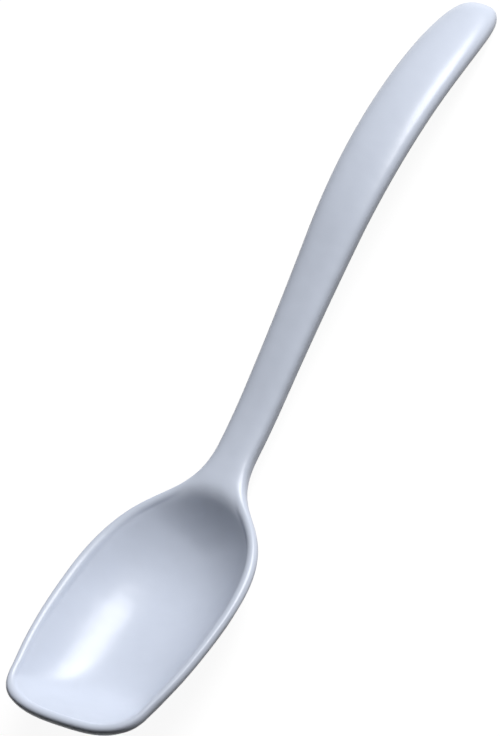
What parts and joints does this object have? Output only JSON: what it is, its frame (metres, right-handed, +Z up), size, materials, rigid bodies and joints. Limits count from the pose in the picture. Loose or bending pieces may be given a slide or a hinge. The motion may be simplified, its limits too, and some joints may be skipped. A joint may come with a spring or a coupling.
{
  "type": "scoop spoon",
  "caption": "One-piece moulded scoop spoon for serving, with a shovel-shaped bowl, a round rim, a flared neck and an arched handle.",
  "frame": {"origin": "on the table top, under the middle of the spoon's bounding box", "axes": "+Y from the front edge of the bowl to the end of the handle, +X across the bowl, +Z up from the table"},
  "size_m": [0.055, 0.2472, 0.0269],
  "materials": {
    "moulded_melamine": "glossy compression-moulded melamine, pale cool white"
  },
  "bodies": {
    "root": {"bowl": "moulded_melamine", "rim": "moulded_melamine", "neck": "moulded_melamine", "handle": "moulded_melamine"}
  },
  "joints": []
}
